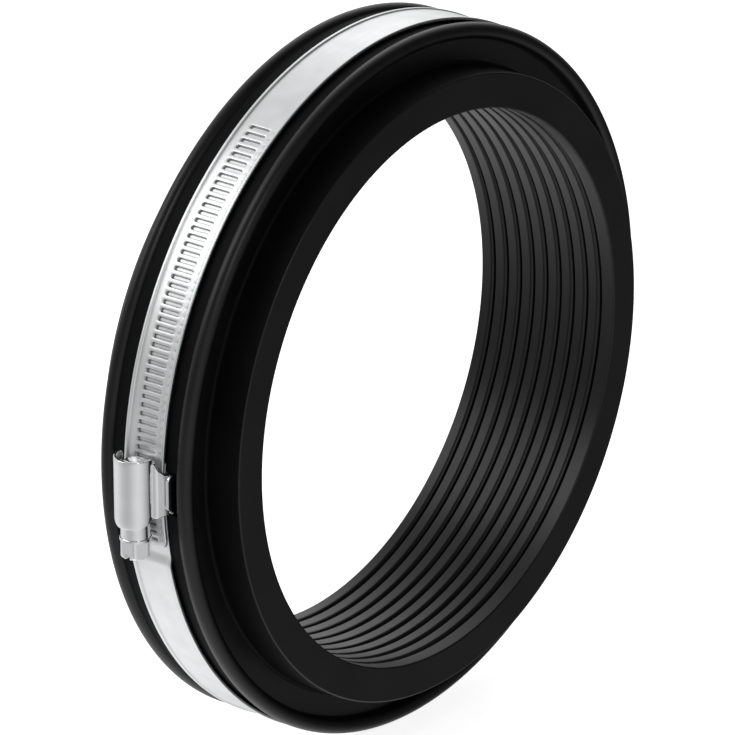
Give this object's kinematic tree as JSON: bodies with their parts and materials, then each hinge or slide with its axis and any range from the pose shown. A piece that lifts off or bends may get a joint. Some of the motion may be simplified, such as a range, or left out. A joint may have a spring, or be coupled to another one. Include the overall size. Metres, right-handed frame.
{
  "type": "clamped pipe collar",
  "caption": "Moulded rubber ring with a ribbed bore and a beaded middle, clamped on a pipe by a steel worm-drive band with a hexagon screw.",
  "frame": {"origin": "on the bore's axis, halfway along the bore", "axes": "+Y along the bore axis towards the rear end; the clamp's housing is at -X and its screw runs along Z, head at -Z"},
  "size_m": [0.1895, 0.0424, 0.1814],
  "materials": {
    "rubber": "smooth moulded, semi-gloss",
    "band_steel": "bright rolled",
    "housing_steel": "bright pressed",
    "screw_steel": "zinc plated, satin"
  },
  "bodies": {
    "base": {"collar": "rubber", "housing": "housing_steel"},
    "band": {"clamp_band": "band_steel"},
    "screw": {"worm_screw": "screw_steel"}
  },
  "joints": [
    {"name": "screw_turn", "type": "hinge", "parent": "base", "child": "screw", "pos_m": [-0.0938, -0.0007, 0], "axis": [0, 0, 1], "range_deg": [-1084, 2168]},
    {"name": "band_advance", "type": "hinge", "parent": "base", "child": "band", "pos_m": [0, 0, 0], "axis": [0, -1, 0], "range_deg": [-4, 8]}
  ],
  "couplings": [
    {"joint": "screw_turn", "follows": "band_advance", "ratio": 271}
  ]
}
